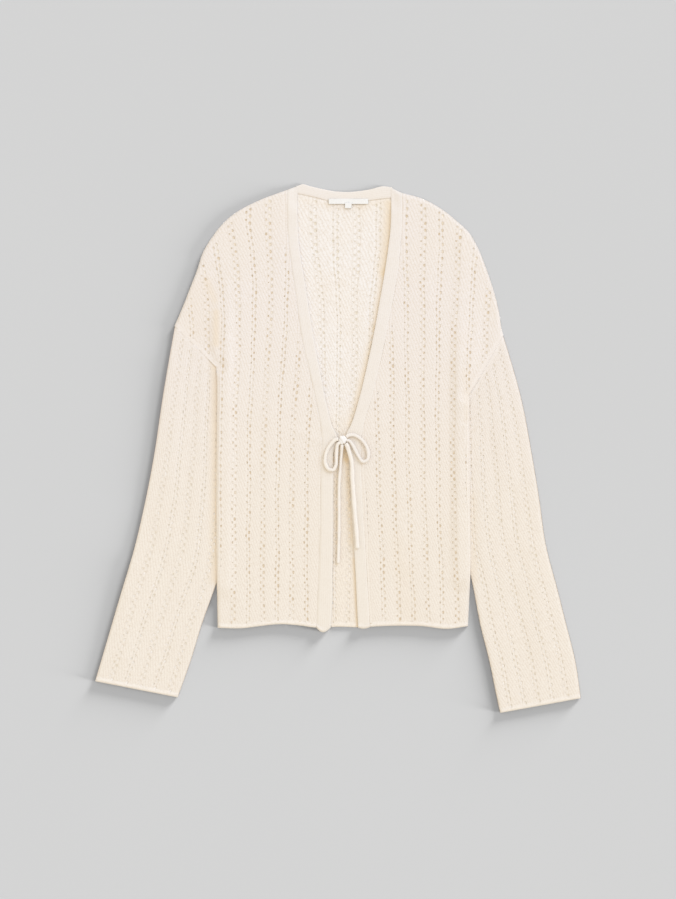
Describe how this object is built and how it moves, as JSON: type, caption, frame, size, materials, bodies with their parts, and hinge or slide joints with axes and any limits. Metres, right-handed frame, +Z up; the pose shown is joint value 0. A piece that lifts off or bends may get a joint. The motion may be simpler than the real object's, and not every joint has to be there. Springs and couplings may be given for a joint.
{
  "type": "cardigan",
  "caption": "Cream lace-knit cardigan laid flat, with long sleeves, plain front bands, a V neck and a tie front",
  "frame": {"origin": "under the middle of the laid-out cardigan, on the surface that it lies on", "axes": "+X to the right as seen from above, +Y from the hem to the neck, +Z up from the surface"},
  "size_m": [0.613, 0.6672, 0.0116],
  "materials": {
    "knit": "soft lace knit",
    "jersey": "plain jersey knit",
    "cord": "knitted cord",
    "label": "bare woven label"
  },
  "bodies": {
    "root": {"back": "knit", "front_left": "knit", "front_right": "knit", "sleeve_left": "knit", "sleeve_right": "knit", "band_left": "jersey", "band_right": "jersey", "band_neck": "jersey", "tie_knot": "cord", "tie_loop_left": "cord", "tie_loop_right": "cord", "tie_tail_left": "cord", "tie_tail_right": "cord", "label": "label", "size_tab": "label"}
  },
  "joints": []
}
